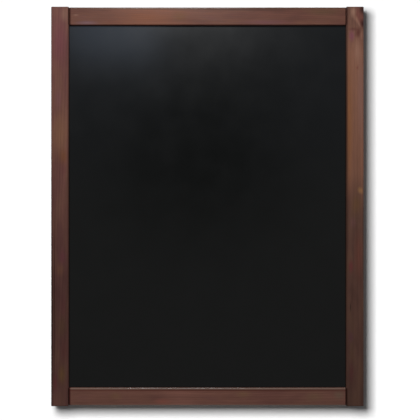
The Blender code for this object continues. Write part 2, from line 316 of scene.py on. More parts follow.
# %% Coordinates along one batten
def along_batten(middle, turn):
    """Coordinates with the batten's centre at zero and its length along Z."""
    own = add("TexCoord").outputs["Object"]
    shift = -(turn @ middle)
    return add("Mapping", {"Vector": own, "Location": shift, "Rotation": turn.to_euler()})


def stretched_noise(vector, width, length):
    """Cloud noise with blobs of a real width and a real length along the batten."""
    scaled = add("Mapping", {"Vector": vector, "Scale": (1 / width, 1 / width, 1 / length)})
    return add("TexNoise", {"Vector": scaled, "Scale": 1.0, "Detail": 2.0})


# %% [markdown]
# ## Knots and patches
#
# A knot is the foot of a branch. The trunk's rings part and flow round it, and the branch itself is
# harder, redder and darker. So the grain is pushed aside near the knot before the rings are measured,
# and the knot is tinted after that. A patch where the wood drank more or less of the stain is the
# same without the push. Both are marks, and so are some long thin lines along the arrises, which are
# painted highlights and painted shade. A share of colour above 1 makes a mark's middle one even
# patch, because a Mix node's factor stops at 1.


# %% Bend the grain round a knot, and tint it
# A place on the face and half sizes in mm, a colour, its share, a turn in degrees and a push in mm.
Mark = namedtuple("Mark", "across along wide long colour share turn push", defaults=(0, 0))
PUSH_SHARE = 0.5        # the push reaches twice as far as the colour


def mark_mask(stick, mark, reach):
    """1 in the middle of a mark, falling smoothly to 0 at its rim."""
    shift = (-mark.across * MM, 0, -mark.along * MM)
    moved = add("VectorMath", {0: stick, 1: shift}, operation="ADD")
    turned = add("Mapping", {"Vector": moved, "Rotation": (0, math.radians(mark.turn), 0)})
    scale = (reach / (mark.wide * MM), 0, reach / (mark.long * MM))
    scaled = add("VectorMath", {0: turned, 1: scale}, operation="MULTIPLY")
    far = add("VectorMath", {0: scaled}, operation="LENGTH")
    return add("MapRange", {"Value": far, 3: 1.0, 4: 0.0}, interpolation_type="SMOOTHSTEP")


def push_grain(stick, bent, mark):
    """Pushes the grain aside near a knot."""
    push = add("VectorMath", {0: (1, 1, 0), "Scale": mark.push * MM}, operation="SCALE")
    amount = mark_mask(stick, mark, PUSH_SHARE)
    pushed = add("VectorMath", {0: push, "Scale": amount}, operation="SCALE")
    return add("VectorMath", {0: bent, 1: pushed}, operation="ADD")


def tint_mark(stick, colour, mark):
    """Mixes a mark's colour into the wood."""
    mask = mark_mask(stick, mark, 1.0)
    share = add("Math", {0: mask, 1: mark.share}, operation="MULTIPLY")
    return add("Mix", {"Factor": share, "A": colour, "B": mark.colour}, data_type="RGBA")


# %% [markdown]
# ## Growth rings and fibres
#
# Each point's distance from the pith, the tree's centre line, gives its place in the rings. The pith
# runs a few centimetres beside the batten, so the rings show as long lines that wander a little. Each
# goes softly from pale early wood to dark late wood, and short dark fibres run along it. Real fibres
# are too fine to show in the picture, so these are drawn as coarse as they need to.

# %% Real sizes of the figure
RING_SPACING = 3.4 * MM
FIBRE_WIDTH = 0.7 * MM
FIBRE_LENGTH = 26 * MM
WANDER = 5 * MM
WANDER_WIDTH = 45 * MM
WANDER_LENGTH = 260 * MM


# %% Rings and fibres
def wandering(stick, marks):
    """The batten's coordinates, bent as its grain wanders and flows round the knots."""
    drift = stretched_noise(stick, WANDER_WIDTH, WANDER_LENGTH)
    far = {0: drift.outputs["Color"], 1: (WANDER, WANDER, 0), 2: stick}
    bent = add("VectorMath", far, operation="MULTIPLY_ADD")
    for mark in marks:
        if mark.push:
            bent = push_grain(stick, bent, mark)
    return bent


def ring_radius(bent, pith):
    """Each point's distance from the pith, which is given by its place in mm and its slope."""
    across, behind, slope = pith
    place = (across * MM, behind * MM, 0)
    beside = add("VectorMath", {0: bent, 1: place}, operation="SUBTRACT")
    line = Vector((slope, slope / 2, 1)).normalized()
    around = add("VectorMath", {0: beside, 1: line}, operation="CROSS_PRODUCT")
    return add("VectorMath", {0: around}, operation="LENGTH")


def late_wood(radius):
    """How dark each point is within its ring."""
    years = add("Math", {0: radius, 1: RING_SPACING}, operation="DIVIDE")
    year = add("Math", {0: years}, operation="FRACT")
    stops = [(0.0, "404040"), (0.45, "000000"), (0.86, "E0E0E0"), (1.0, "505050")]
    return add("ValToRGB", {"Fac": year}, stops)


# %% [markdown]
# ## Colour
#
# The stain gives cloudy patches from red-brown to orange-brown, which a ramp over broad noise makes.
# The depth of the stain multiplies the colour: it changes slowly along the batten, more quickly from
# streak to streak, and finely from fibre to fibre.

# %% Real sizes of the patches and streaks
STREAK_WIDTH = 7 * MM
STREAK_LENGTH = 420 * MM
PATCH_WIDTH = 22 * MM
PATCH_LENGTH = 80 * MM
STREAK_DEPTH = 0.11
FIBRE_DEPTH = 0.11
RING_DEPTH = 0.09
TONE_STOPS = (0.3, 0.44, 0.56, 0.7)
NOISE_LOW = 0.3
NOISE_HIGH = 0.7


# %% The wood's colour
def over_noise(noise, low, high):
    """A value that runs from low to high as a noise does from its valleys to its peaks."""
    return add("MapRange", {"Value": noise, 1: NOISE_LOW, 2: NOISE_HIGH, 3: low, 4: high})


def wood_colour(stick, bent, radius, fibres, tones, along, half_length, marks):
    """Patches of stain and marks, times the stain's depth along the batten and across its grain."""
    patches = stretched_noise(bent, PATCH_WIDTH, PATCH_LENGTH)
    colour = add("ValToRGB", {"Fac": patches}, zip(TONE_STOPS, tones))
    for mark in marks:
        colour = tint_mark(stick, colour, mark)
    height = add("SeparateXYZ", {0: stick}).outputs["Z"]
    slow = add("Math", {0: height, 1: STREAK_WIDTH / STREAK_LENGTH}, operation="MULTIPLY")
    ribbon = add("CombineXYZ", {"X": radius, "Y": slow})
    streaks = add("TexNoise", {"Vector": ribbon, "Scale": 1 / STREAK_WIDTH, "Detail": 3.0})
    share = add("MapRange", {"Value": height, 1: -half_length, 2: half_length})
    depth = add("ValToRGB", {"Fac": share}, [(at, (f, f, f, 1)) for at, f in along])
    late = {"Value": late_wood(radius), 3: 1 + RING_DEPTH / 2, 4: 1 - 1.5 * RING_DEPTH}
    for factor in (
        over_noise(streaks, 1 - STREAK_DEPTH, 1 + STREAK_DEPTH),
        over_noise(fibres, 1 - FIBRE_DEPTH, 1 + FIBRE_DEPTH),
        add("MapRange", late),
    ):
        depth = add("Math", {0: depth, 1: factor}, operation="MULTIPLY")
    return add("VectorMath", {0: colour, "Scale": depth}, operation="SCALE")


# %% [markdown]
# ## Where the stain gathers, and painted shade on the arrises
#
# Stain stays where a cloth can't wipe it off: along the rounded arrises, on the end grain and in the
# V-shaped joints, which is why a joint reads as a dark line even in full light. Masks find those
# places, and the darkest of them counts. Each long arris gets its own darkness. It is partly stain and
# partly painted shade, darkest on an arris turned away from the light or where a highlight is toned down.

# %% Masks for arrises, ends and joints
JOINT_DARKNESS = 0.95
JOINT_INNER = top_low.z - middle_of(left_low, left_high).z + ARRIS / 2
JOINT_OUTER = top_high.z - middle_of(left_low, left_high).z


def edge_mask(distance, limit, reach, darkness):
    """Rises to a darkness over the last stretch before a limit."""
    rise = {"Value": distance, 1: limit - reach, 2: limit - reach / 3, 4: darkness}
    return add("MapRange", rise, interpolation_type="SMOOTHSTEP")


def stain_and_arris_shade(stick, half_length, sides, ends, joint):
    """Extra stain and painted shade: sides are arris darknesses, ends are reaches, a joint is a side and
    a reach in mm.
    """
    parts = add("SeparateXYZ", {0: stick})
    masks = []
    for sign, darkness, reach in zip((-1, 1), sides, ends):
        toward = add("Math", {0: parts.outputs["X"], 1: sign}, operation="MULTIPLY")
        along = add("Math", {0: parts.outputs["Z"], 1: sign}, operation="MULTIPLY")
        masks.append(edge_mask(toward, BATTEN_WIDTH / 2, ARRIS, darkness))
        masks.append(edge_mask(along, half_length, reach, JOINT_DARKNESS))
    if joint:
        sign, reach = joint
        toward = add("Math", {0: parts.outputs["X"], 1: sign}, operation="MULTIPLY")
        line = edge_mask(toward, BATTEN_WIDTH / 2, reach * MM, JOINT_DARKNESS)
        height = add("Math", {0: parts.outputs["Z"]}, operation="ABSOLUTE")
        for limit, test in ((JOINT_INNER, "GREATER_THAN"), (JOINT_OUTER, "LESS_THAN")):
            beside = add("Math", {0: height, 1: limit}, operation=test)
            line = add("Math", {0: line, 1: beside}, operation="MULTIPLY")
        masks.append(line)
    most = 0.0
    for mask in masks:
        most = add("Math", {0: most, 1: mask}, operation="MAXIMUM")
    return most


# %% [markdown]
# ## The finished wood
#
# The lacquer has a satin sheen and is a little rougher where it has sunk into the fibres. These lie a
# few hundredths of a millimetre deep, which a Bump node shows.

# %% The stained pine material
PORE_DEPTH = 0.06 * MM
LACQUER_SHEEN = 0.25
SUNKEN_ROUGHNESS = 0.24
FULL_ROUGHNESS = 0.16
EVEN = ((0.0, 1.0), (1.0, 1.0))
# The colour of gathered stain, also used for the painted shade on the arrises.
STAIN_AND_SHADE_DARK = "2C130B"


def stained_pine(
    node, turn, pith, tones, rows, sides, ends=(ARRIS, ARRIS), joint=None, along=EVEN, dark=STAIN_AND_SHADE_DARK
):
    """Stained and lacquered pine with its grain along one batten."""
    values = {"Specular IOR Level": LACQUER_SHEEN}
    material, shader = start_material("stained_pine_" + node, values)
    low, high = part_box(node)
    half_length = max(high - low) / 2
    marks = [Mark(*row) for row in rows]
    stick = along_batten(middle_of(low, high), turn)
    bent = wandering(stick, marks)
    radius = ring_radius(bent, pith)
    fibres = stretched_noise(bent, FIBRE_WIDTH, FIBRE_LENGTH)
    colour = wood_colour(stick, bent, radius, fibres, tones, along, half_length, marks)
    # Stain at the ends and joints, and stain with painted shade on the long arrises.
    stain_and_shade = stain_and_arris_shade(stick, half_length, sides, ends, joint)
    feed(shader, {
        "Base Color": add("Mix", {"Factor": stain_and_shade, "A": colour, "B": dark}, data_type="RGBA"),
        "Roughness": over_noise(fibres, SUNKEN_ROUGHNESS, FULL_ROUGHNESS),
        "Normal": add("Bump", {"Height": fibres, "Distance": PORE_DEPTH, "Strength": 0.5}),
    })
    return material


# %% [markdown]
# ## Four battens, four pieces of wood
#
# Each batten has its own material, made by the same function with other values, because no two
# battens come from the same part of a tree. The right stile has a knot near its top and is paler and
# more orange below it. The bottom rail is the palest, with redder joints. Each bracket is one mark.
# Some long marks along the arrises are painted highlights and painted shade, noted where they stand.

# %% The marks of each batten
left_marks_and_shade = [
    (-2, 372, 26, 80, "5A3236", 0.8), (10, 432, 12, 25, "6A4C40", 0.7),
    (-3, 240, 10, 40, "62403F", 0.7), (0, 160, 30, 85, "6A4A38", 0.8),
    (8, 112, 14, 28, "603A22", 0.6), (8, 85, 12, 25, "54322F", 0.7),
    (6, -113, 12, 25, "5E3338", 0.7), (0, -143, 14, 22, "664433", 0.6),
    (8, -225, 10, 40, "5C3533", 0.6), (4, -270, 16, 35, "553C2C", 0.7),
    (10, -322, 10, 40, "5C3530", 0.6), (4, -378, 12, 32, "64482C", 0.8),
    # The dark line at -17.1 mm is painted shade on the lower half of the outer arris, which is turned
    # away from the light.
    (-11, -396, 7, 30, "5A2E2E", 0.8), (-17.1, -235, 2.2, 330, "24130D", 1.0),
    # The long mark at 19.5 mm is painted shade along the inner arris, which is turned away from the
    # light.
    (-12.6, -200, 1.8, 300, "2A150C", 0.9), (19.5, 100, 5, 600, "2E1C15", 0.6),
]
right_marks = [
    (0, 210, 200, 240, "714D3D", 2.5), (-14, 190, 13, 210, "7A4F30", 0.75),
    (13, 250, 12, 150, "73534A", 0.6), (16, 426, 20, 40, "5C3830", 1.6, 24, 6),
    (-4, 438, 9, 20, "7E5E4E", 0.85, 0, 1), (3, 421, 7, 16, "765445", 0.7, 26, 1),
    (9, 411, 4, 12, "765648", 0.6, 20), (17, 443, 12, 19, "33201B", 1.0, 12),
    (17.5, 411, 8, 15, "331A16", 1.0, 14, 1), (-4, 399, 17, 6.5, "4C2C26", 0.7, 0, 1),
    (-7.5, 384, 10, 19, "683C44", 0.9, 0, 1), (7, 391, 9, 18, "472620", 0.85, -8, 2),
    (15, 385, 5, 14, "735143", 0.8), (-19.5, 200, 6.5, 700, "2E1C15", 0.9),
    (5, 350, 11, 40, "7C5B4C", 0.6), (5, 312, 4, 5, "5C2C28", 0.6, 0, 1),
    (12, 36, 9, 12, "85603F", 0.9, 25, 1), (4, 5, 16, 30, "60432C", 0.7),
    (-5, -36, 12, 18, "5F3F3C", 0.7), (8, -110, 14, 80, "62392F", 0.7),
    (-9, -135, 9, 22, "60302F", 0.9), (-10, -227, 2.2, 16, "2E1E15", 0.9, 0, 0.5),
    (-9, -294, 9, 18, "563539", 0.7), (-8, -372, 7, 40, "5A3030", 0.7),
]
top_marks_and_light = [
    (0, 128, 200, 140, "633E2F", 1.1), (-3, 130, 15, 75, "6B412D", 0.8),
    (0, 62, 18, 25, "5B3D27", 0.7), (-15, 272, 7, 35, "5F474A", 0.8),
    (2.5, 296, 3, 9, "6E5044", 0.8), (-14, -132, 9, 80, "57373A", 0.6),
    # The long dark mark at 18.5 mm is painted shade along the upper arris, which tones down its
    # highlight.
    (10, -262, 14, 60, "4F3A2A", 0.7), (18.5, 0, 6.5, 900, "4A3427", 0.8),
    (12, 233, 2.2, 28, "4A2C24", 0.7), (14.5, -110, 4.5, 190, "38231C", 0.6),
    # The pale line at -20.4 mm is painted light on the lower arris and underside, which lie in shade.
    (-20.4, 0, 1.6, 900, "9A6458", 1.0),
]
bottom_marks_and_light = [
    (0, 62, 200, 70, "83584C", 0.8), (0, -141, 200, 60, "6B453D", 0.7),
    (-10, 102, 9, 30, "8A5347", 0.7), (2, 206, 14, 22, "775640", 0.6),
    (6, -80, 12, 25, "7A5A42", 0.6), (0, -240, 16, 30, "725641", 0.6),
    (4, -296, 16, 18, "6E5848", 0.7), (14.6, 0, 3.6, 900, "55291F", 0.8),
    # The grey line at 18.2 mm is a painted highlight on the upper arris; the darker one over its middle
    # is painted shade that tones it down.
    (18.2, 0, 2.8, 900, "7E6C60", 1.0), (18.2, 50, 2.8, 210, "4A3830", 0.7),
    # The dark line at 20.6 mm is painted shade where the rail meets the panel; the pale grey line at
    # -19.3 mm is a painted highlight on the lower arris.
    (20.6, 0, 2.2, 900, "3A241D", 1.0), (-19.3, 0, 2.6, 900, "8C857A", 0.8),
]

# %% Make the four woods
left_pine = stained_pine(
    "left_stile", UPRIGHT, (34, 48, 0.016), ("51332F", "563732", "5A3B33", "5C3F35"), left_marks_and_shade,
    # The outer arris's 0.7 is stain and painted shade, as that arris is turned away from the light.
    sides=(0.7, 0.35), joint=(1, 2.6), along=(
        (0.0, 1.3), (0.06, 1.08), (0.14, 0.97), (0.25, 0.88), (0.35, 0.92), (0.58, 1.07), (0.82, 1.1),
        (1.0, 1.03),
    ),
)
right_pine = stained_pine(
    "right_stile", UPRIGHT, (-26, 60, -0.02), ("4E342C", "543930", "583D32", "5A3F31"), right_marks,
    sides=(0.35, 0.35), joint=(-1, 4.5),
)
top_pine = stained_pine(
    "top_rail", LYING, (52, 36, 0.02), ("50332B", "55362D", "593A2F", "583932"), top_marks_and_light,
    # The upper arris's 0.85 is stain and painted shade that tones down its highlight.
    sides=(0.0, 0.85), ends=(1.5 * MM, 6 * MM),
)
bottom_pine = stained_pine(
    "bottom_rail", LYING, (-44, 52, -0.014), ("6D483F", "734D42", "775044", "744D45"), bottom_marks_and_light,
    sides=(0.0, 0.0), ends=(2 * MM, 5 * MM), dark="401512",
)
print("woods:", [pine.name for pine in (left_pine, right_pine, top_pine, bottom_pine)])

# %% [markdown]
# ## The battens
#
# A batten starts as a box of its full size. Bevel in edit mode rounds all its arrises at once, as a
# sander does. The groove for the panel and the drillings for dowels and screws are then cut out, and
# show when the board is taken apart. The rails are grooved from end to end. In the stiles the groove
# stops short of both ends, so that no slot shows in the end grain.

# %% Sizes of the grooves and drillings, read from the pieces that sit in them
FIT = 0.3 * MM
DRILL_ROOM = 1 * MM
OVERRUN = 1 * MM
END_ROOM = 0.8 * MM
ARRIS_STEPS = 7
SCREW_SHANK = 3.5 * MM
panel_low, panel_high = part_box("panel_core")
groove_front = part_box("writing_sheet")[0].y - FIT
groove_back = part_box("backing_sheet")[1].y + FIT
print("groove width in mm:", in_mm([groove_back - groove_front], 2))


# %% Shape one batten
def rod(name, middle, radius, length, axis, sides=24):
    """A round bar about an axis, used for pegs and drills."""
    turn = {"X": (0, math.pi / 2, 0), "Y": (math.pi / 2, 0, 0)}[axis]
    only()
    bpy.ops.mesh.primitive_cylinder_add(
        vertices=sides, radius=radius, depth=length, location=middle, rotation=turn
    )
    return start(name)


def dowel_drill(dowel):
    """A drill along a dowel's axis, a little wider and longer than the dowel."""
    low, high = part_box(dowel)
    radius = (high.z - low.z) / 2 + FIT
    return rod("dowel_drill", middle_of(low, high), radius, high.x - low.x + 2 * DRILL_ROOM, "X")


def pilot_drill(screw):
    """A drill along a screw's axis, from outside the wood to just past its point."""
    low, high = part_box(screw)
    tip = low.y - DRILL_ROOM
    length = left_high.y + OVERRUN - tip
    middle = middle_of(low, high)
    middle.y = tip + length / 2
    return rod("pilot_drill", middle, SCREW_SHANK / 2 + FIT, length, "Y")


def make_batten(node, side, from_x, to_x, from_z, to_z):
    """One batten: rounded, grooved, and drilled for what sits in it on its side of the board."""
    batten = start_box(node + "_wood", *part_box(node))
    edit(batten)
    bpy.ops.mesh.select_all(action="SELECT")
    bpy.ops.mesh.bevel(offset=ARRIS, segments=ARRIS_STEPS, affect="EDGES")
    close_edit()
    groove = Vector((from_x, groove_front, from_z)), Vector((to_x, groove_back, to_z))
    cut_out(batten, start_box("saw", *groove))
    for dowel in named("dowel", side):
        cut_out(batten, dowel_drill(dowel))
    for screw in named("hanger_screw", side):
        cut_out(batten, pilot_drill(screw))
    smooth(batten)
    return batten


# %% Make the stiles and the rails
stopped = (panel_low.z - END_ROOM, panel_high.z + END_ROOM)
through = (top_low.x - OVERRUN, top_high.x + OVERRUN)
for node, wood, side, groove_x, groove_z in (
    ("left_stile", left_pine, "left", (panel_low.x - END_ROOM, left_high.x + OVERRUN), stopped),
    ("right_stile", right_pine, "right", (right_low.x - OVERRUN, panel_high.x + END_ROOM), stopped),
    ("top_rail", top_pine, "top", through, (top_low.z - OVERRUN, stopped[1])),
    ("bottom_rail", bottom_pine, "bottom", through, (stopped[0], bottom_high.z + OVERRUN)),
):
    batten = make_batten(node, side, *groove_x, *groove_z)
    register(batten, node, wood)
    print(batten.name, len(batten.data.polygons), "faces")

# %% [markdown]
# ## The writing sheet
#
# The face that is written on is a black melamine laminate, pressed onto hardboard with a fine satin
# texture, so that chalk takes and doesn't glare. It reads as nearly black, with a soft sheen where it
# turns towards the light. The texture is drawn a little coarser than it is, so that it shows.
#
# A laminate on hardboard is never dead flat. So the sheet is a grid, displaced by a few hundredths of
# a millimetre by a broad cloud pattern and then thickened, which makes its sheen waver.

# %% Satin melamine and its plain balancing sheet
def pressed(name, values, tones, roughness, cloud, grain, relief, strength):
    """A pressed surface: clouds in tone and gloss, by width and detail, and the mould's fine grain."""
    material, shader = start_material(name, values)
    own = add("TexCoord").outputs["Object"]
    fine = add("TexNoise", {"Vector": own, "Scale": 1 / grain, "Detail": 3.0})
    broad = add("TexNoise", {"Vector": own, "Scale": 1 / cloud[0], "Detail": cloud[1]})
    feed(shader, {
        "Base Color": add("ValToRGB", {"Fac": broad}, tones),
        "Roughness": over_noise(broad, *roughness),
        "Normal": add("Bump", {"Height": fine, "Distance": relief, "Strength": strength}),
    })
    return material


black_melamine = pressed(
    "satin_black_melamine", {"IOR": 1.5}, [(0.3, "060706"), (0.7, "080908")],
    (0.192, 0.216), (60 * MM, 4.0), 0.45 * MM, 0.02 * MM, 0.3,
)
balancing_melamine = pressed(
    "matt_balancing_melamine", {"IOR": 1.5}, [(0.3, "1B1B1B"), (0.7, "212121")],
    (0.538, 0.562), (60 * MM, 4.0), 0.45 * MM, 0.02 * MM, 0.8,
)
print("laminates:", black_melamine.name, balancing_melamine.name)

# %% Make a sheet that wavers a little
GRID_STEP = 12 * MM
WAVER = 0.08 * MM
WAVER_WIDTH = 0.22
SHEET_ARRIS = 0.12 * MM
slow_waver = bpy.data.textures.new("slow_waver", "CLOUDS")
slow_waver.noise_scale = WAVER_WIDTH
slow_waver.noise_depth = 1


def make_sheet(node, facing):
    """A laminate sheet: a grid with a slight waver, a thickness and broken arrises."""
    low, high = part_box(node)
    size = high - low
    only()
    bpy.ops.mesh.primitive_grid_add(
        x_subdivisions=round(size.x / GRID_STEP), y_subdivisions=round(size.z / GRID_STEP), size=1,
        location=middle_of(low, high), rotation=(facing * math.pi / 2, 0, 0),
    )
    bpy.context.object.scale = (size.x, size.z, 1)
    sheet = start(node + "_laminate")
    use_modifier(sheet, "DISPLACE", texture=slow_waver, texture_coords="LOCAL", strength=WAVER)
    use_modifier(sheet, "SOLIDIFY", thickness=size.y, offset=0.0)
    edit(sheet)
    pick("edges", is_sharp)
    bpy.ops.mesh.bevel(offset=SHEET_ARRIS, segments=2, affect="EDGES")
    close_edit()
    smooth(sheet)
    return sheet


writing_sheet = make_sheet("writing_sheet", 1)
register(writing_sheet, "writing_sheet", black_melamine)
backing_sheet = make_sheet("backing_sheet", -1)
register(backing_sheet, "backing_sheet", balancing_melamine)
print("sheet faces:", len(writing_sheet.data.polygons), len(backing_sheet.data.polygons))

# %% [markdown]
# ## The hardboard core
#
# Hardboard is wood fibre pressed wet against a wire screen, which leaves a woven print. The core's
# plain slab is right as it is in the construction model, so that node stays and only gets its
# material: matted brown fibres with darker specks, over the screen's print.

# %% Hardboard
SCREEN_PITCH = 1.6 * MM
SCREEN_PRINT = 0.15 * MM
FLECK = 0.8 * MM
screen_scale = 1 / SCREEN_PITCH / math.tau * 2
hardboard, shader = start_material("pressed_hardboard", {"Roughness": 0.82})
own = add("TexCoord").outputs["Object"]
flecks = add("TexNoise", {"Vector": own, "Scale": 1 / FLECK, "Detail": 5.0, "Roughness": 0.7})
warp, weft = (
    add("TexWave", {"Vector": own, "Scale": screen_scale}, bands_direction=way).outputs["Fac"]
    for way in ("X", "Z")
)
screen = add("Math", {0: warp, 1: weft}, operation="MULTIPLY")
brown = [(0.32, "4A2F1C"), (0.5, "7A5535"), (0.68, "96704A")]
feed(shader, {
    "Base Color": add("ValToRGB", {"Fac": flecks}, brown),
    "Normal": add("Bump", {"Height": screen, "Distance": SCREEN_PRINT, "Strength": 0.7}),
})
core = frame["nodes"]["panel_core"]
core.data.materials.clear()
core.data.materials.append(hardboard)
print("core keeps its solid, in", hardboard.name)

# %% [markdown]
# ## The dowels
#
# Joiner's dowels are turned from beech, which is pale and even, with short darker flecks. Flutes along
# their sides let the glue escape, and chamfered ends help them into the hole. So a bar has its ends
# bevelled, and every other side inset and sunk. The other dowels are copies.

# %% Beech
BEECH_FLECK = 0.35 * MM
BEECH_STRETCH = 0.06
BEECH_PORE = 0.05 * MM
beech, shader = start_material("turned_beech", {"Roughness": 0.62})
own = add("TexCoord").outputs["Object"]
stretched = add("Mapping", {"Vector": own, "Scale": (BEECH_STRETCH, 1, 1)})
fibre = add("TexNoise", {"Vector": stretched, "Scale": 1 / BEECH_FLECK, "Detail": 3.0})
pale = [(0.35, "B08458"), (0.55, "CDA57A"), (0.7, "D9B68D")]
feed(shader, {
    "Base Color": add("ValToRGB", {"Fac": fibre}, pale),
    "Normal": add("Bump", {"Height": fibre, "Distance": BEECH_PORE, "Strength": 0.5}),
})

# %% Model one dowel and copy it
FLUTE_SIDES = 40
FLUTE_DEPTH = 0.2 * MM
FLUTE_EDGE = 0.05 * MM
DOWEL_CHAMFER = 0.8 * MM
first_dowel = named("dowel")[0]
low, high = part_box(first_dowel)
centre = middle_of(low, high)
dowel = rod(first_dowel + "_fluted", centre, (high.z - low.z) / 2, high.x - low.x, "X", FLUTE_SIDES)
edit(dowel)
pick("edges", lambda edge: edge_run(edge, 0) < FLUTE_EDGE)
bpy.ops.mesh.bevel(offset=DOWEL_CHAMFER, segments=1, affect="EDGES")


def is_flute(face):
    """Every other long side of the dowel."""
    out = face.calc_center_median() - centre
    step = math.atan2(out.z, out.y) % math.tau / (math.tau / FLUTE_SIDES)
    return abs(face.normal.x) < 1 - FACING and int(step) % 2 == 0


print("flutes:", pick("faces", is_flute))
bpy.ops.mesh.inset(thickness=FLUTE_EDGE, depth=-FLUTE_DEPTH, use_individual=True)
close_edit()
smooth(dowel)
register_all(dowel, first_dowel, "dowel", beech)

# %% [markdown]
# ## Zinc-plated steel
#
# The hangers, rings and screws are mild steel with bright zinc plating: a slightly bluish silver with
# a cloudy, crystalline sheen, and fine drawing lines along strip and wire. It is a metal, so its
# colour is in its reflection, and its clouds change the roughness more than the colour.

# %% Bright zinc
PLATING_CLOUD = 2.5 * MM
DRAWN_DEPTH = 0.02 * MM


def bright_zinc(name, dark, light, line_width, line_scale, roughness):
    """Zinc plating over strip or wire, with drawing lines along one way."""
    material, shader = start_material(name, {"Metallic": 1.0})
    own = add("TexCoord").outputs["Object"]
    drawn = add("Mapping", {"Vector": own, "Scale": line_scale})
    lines = add("TexNoise", {"Vector": drawn, "Scale": 1 / line_width, "Detail": 2.0})
    clouds = add("TexNoise", {"Vector": own, "Scale": 1 / PLATING_CLOUD, "Detail": 3.0})
    mixed = add("Math", {0: lines, 1: clouds}, operation="MULTIPLY")
    gloss = {"Value": mixed, 1: 0.12, 2: 0.4, 3: roughness - 0.08, 4: roughness + 0.1}
    feed(shader, {
        "Base Color": add("ValToRGB", {"Fac": clouds}, [(0.35, dark), (0.65, light)]),
        "Roughness": add("MapRange", gloss),
        "Normal": add("Bump", {"Height": lines, "Distance": DRAWN_DEPTH, "Strength": 0.4}),
    })
    return material


zinc_strip = bright_zinc("bright_zinc_strip", "B4B9BE", "CDD0D2", 0.15 * MM, (1, 1, 0.05), 0.34)
zinc_wire = bright_zinc("bright_zinc_wire", "BCC1C5", "D6D8D9", 0.12 * MM, (0.3, 1, 0.3), 0.24)
zinc_screw = bright_zinc("bright_zinc_screw", "AEB4B9", "CACED1", 0.2 * MM, (1, 1, 1), 0.3)

# %% [markdown]
# ## The strap hangers
#
# A hanger is a strip of steel 12 mm wide and 1 mm thick. Its lower end is rounded, two holes take the
# screws, and its upper end is curled round the bar of the ring. It is modelled the way it is bent:
# a strip is extruded up from its cross-section, and the end face is then spun about the ring's axis.
# The rims of the holes are countersunk a little, as a punched and pressed part has them.

# %% Sizes of the hanger, from the construction model
STRAP_THICKNESS = 1 * MM
CURL = math.radians(290)
CURL_STEPS = 40
TOE_ROUND = 2.8 * MM
ROLLED_EDGE = 0.18 * MM
HOLE_SINK = 0.3 * MM
ring_joint = next(joint for joint in frame["joints"] if joint["child"] == "ring_left")
ring_axis = Vector(ring_joint["pos_m"])
strap_low, strap_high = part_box("hanger_strap_left")
strap_core = Vector((middle_of(strap_low, strap_high).x, strap_low.y + STRAP_THICKNESS / 2, strap_low.z))
print("ring axis in mm:", in_mm(ring_axis, 2))

# %% Extrude the strap and curl its eye
only()
bpy.ops.mesh.primitive_plane_add(size=1, location=strap_core)
bpy.context.object.scale = (strap_high.x - strap_low.x, STRAP_THICKNESS, 1)
strap = start("hanger_strap_left_curled")
edit(strap)
bpy.ops.mesh.select_all(action="SELECT")
extrude((0, 0, ring_axis.z - strap_low.z))
bpy.ops.mesh.spin(steps=CURL_STEPS, angle=CURL, center=ring_axis, axis=(1, 0, 0))
bpy.ops.mesh.select_all(action="SELECT")
bpy.ops.mesh.normals_make_consistent(inside=False)


# %% Round its toe and soften its edges
def is_toe_corner(edge):
    """An edge through the strip's thickness at its lower end."""
    low_end = all(vert.co.z < strap_low.z + HAIR for vert in edge.verts)
    return low_end and edge_run(edge, 0) < HAIR


print("toe corners:", pick("edges", is_toe_corner))
bpy.ops.mesh.bevel(offset=TOE_ROUND, segments=8, affect="EDGES")
print("rim edges:", pick("edges", is_sharp))
bpy.ops.mesh.bevel(offset=ROLLED_EDGE, segments=2, affect="EDGES")
close_edit()

# %% Punch and countersink its two holes
radius = SCREW_SHANK / 2 + FIT
wide = (radius + 2 * HOLE_SINK) / radius
narrow = radius / (radius + HOLE_SINK)
for name in named("hanger_screw", "left"):
    hole = middle_of(*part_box(name))
    hole.y = strap_core.y
    punch = rod("punch", hole, radius, STRAP_THICKNESS + 2 * HOLE_SINK, "Y", 32)
    edit(punch)
    pick("verts", lambda vert: vert.co.y > hole.y)
    bpy.ops.transform.resize(value=(wide, 1, wide), center_override=hole)
    pick("edges", lambda edge: edge_run(edge, 1) > HAIR)
    bpy.ops.mesh.subdivide(number_cuts=1)
    pick("verts", lambda vert: abs(vert.co.y - hole.y) < HAIR)
    bpy.ops.transform.resize(value=(narrow, 1, narrow), center_override=hole)
    close_edit()
    cut_out(strap, punch)
smooth(strap)
print("strap faces:", len(strap.data.polygons))

# %% [markdown]
# ## The D-rings
#
# A ring is bent from 2.4 mm wire. It starts with a disc, the wire's cross-section, at the middle of
# the straight bar. The disc is extruded along the bar, spun round the first corner, extruded up the
# side, spun through the bow and so on back to where it began. Its ends meet in a butt seam, hidden
# in the strap's eye.

# %% Sizes of the ring
CORNER = 2 * MM
SEAM = 0.1 * MM
SEAM_CHAMFER = 0.2 * MM
WIRE_SIDES = 24
ring_low, ring_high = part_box("hanger_ring_left")
wire = ring_high.y - ring_low.y
half_width = (ring_high.x - ring_low.x - wire) / 2
side_height = (ring_high.z - ring_axis.z) - wire / 2 - half_width
straight = half_width - CORNER - SEAM
rise = side_height - CORNER
print("wire and side in mm:", in_mm((wire, side_height), 2))

